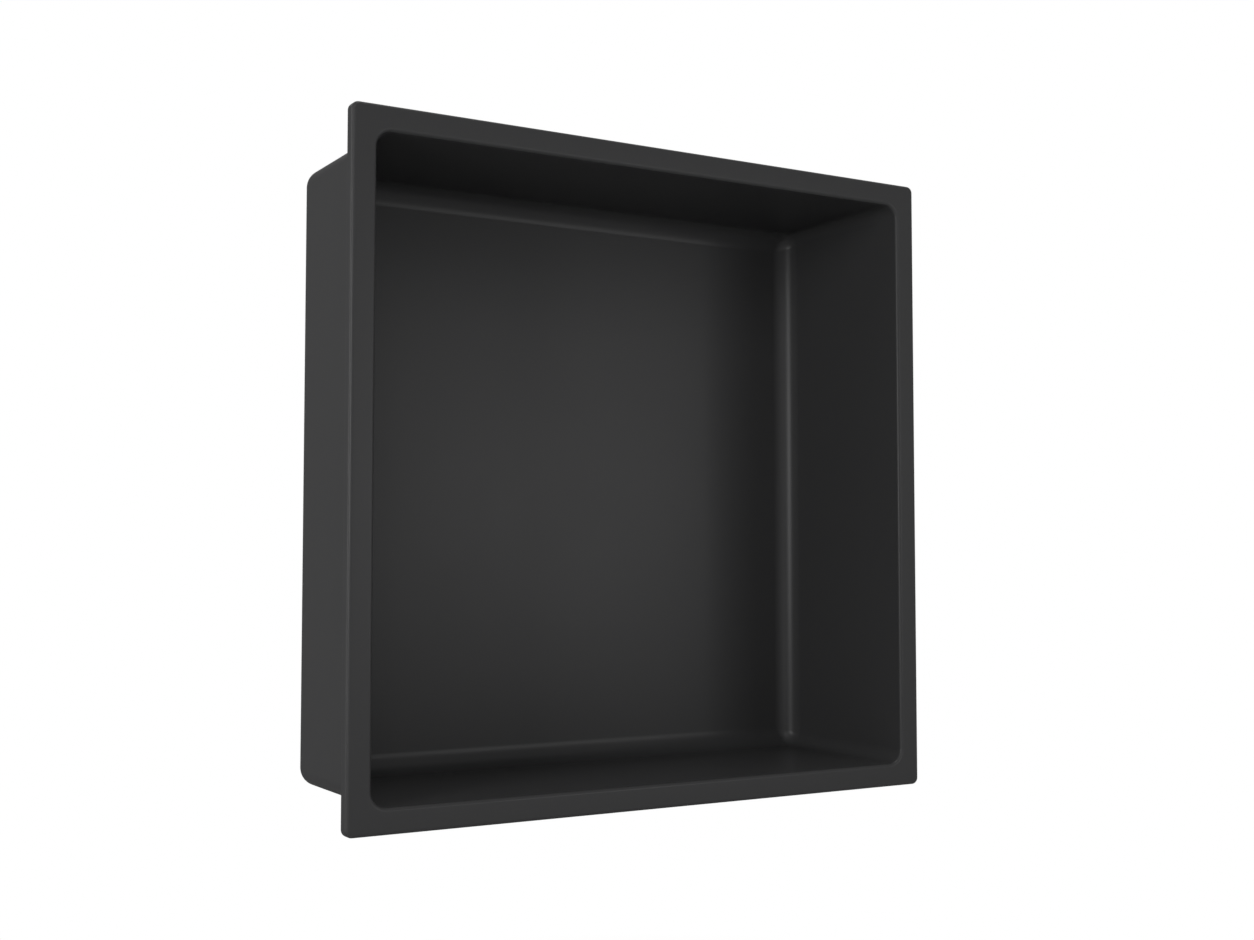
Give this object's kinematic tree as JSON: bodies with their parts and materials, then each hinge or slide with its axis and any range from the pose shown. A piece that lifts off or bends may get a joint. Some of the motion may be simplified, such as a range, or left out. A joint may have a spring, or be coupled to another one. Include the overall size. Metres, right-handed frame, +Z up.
{
  "type": "shower niche insert",
  "caption": "Square matt-black sheet-steel tray that is set into a shower wall as a recessed shelf, with a narrow flange, a folded edge and rounded inner bends.",
  "frame": {"origin": "centre of the opening, on the tiled wall's surface, which is the rear edge of the flange's folded lip", "axes": "+Y into the wall, +Z up, +X to the right of a person who faces the niche"},
  "size_m": [0.324, 0.1, 0.324],
  "materials": {
    "black_coat": "matt powder coat"
  },
  "bodies": {
    "root": {"niche_insert": "black_coat"}
  },
  "joints": []
}
